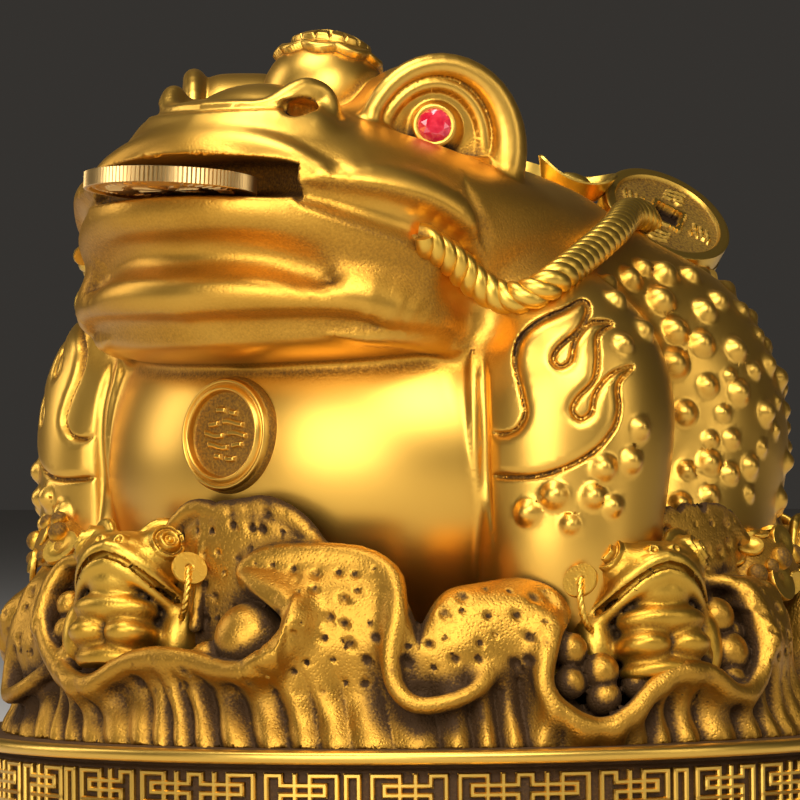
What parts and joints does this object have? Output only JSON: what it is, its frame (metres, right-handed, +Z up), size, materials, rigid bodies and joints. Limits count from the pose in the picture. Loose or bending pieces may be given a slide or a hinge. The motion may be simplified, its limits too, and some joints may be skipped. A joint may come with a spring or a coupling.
{
  "type": "money toad figure",
  "caption": "Cast brass money toad with a coin in its mouth, a carved rope and coins, on a ring of curled leaves with small toads and a round fret-band drum.",
  "frame": {"origin": "middle of the drum's underside, on the surface that the figure stands on", "axes": "+Z up; the toad faces -Y, and its left side is +X"},
  "size_m": [0.224, 0.2314, 0.1854],
  "materials": {
    "polished_brass": "satin, brown in the hollows",
    "patinated_brass": "worn, dark in the hollows",
    "drum_brass": "satin, with a dark ground behind the fret",
    "coin_brass": "struck, with a fine grain",
    "red_crystal": "cut and polished"
  },
  "bodies": {
    "root": {"drum_base": "drum_brass", "toad": "polished_brass", "leaf_bed": "patinated_brass", "mouth_coin": "coin_brass", "eye_gem_left": "red_crystal", "eye_gem_right": "red_crystal"}
  },
  "joints": []
}
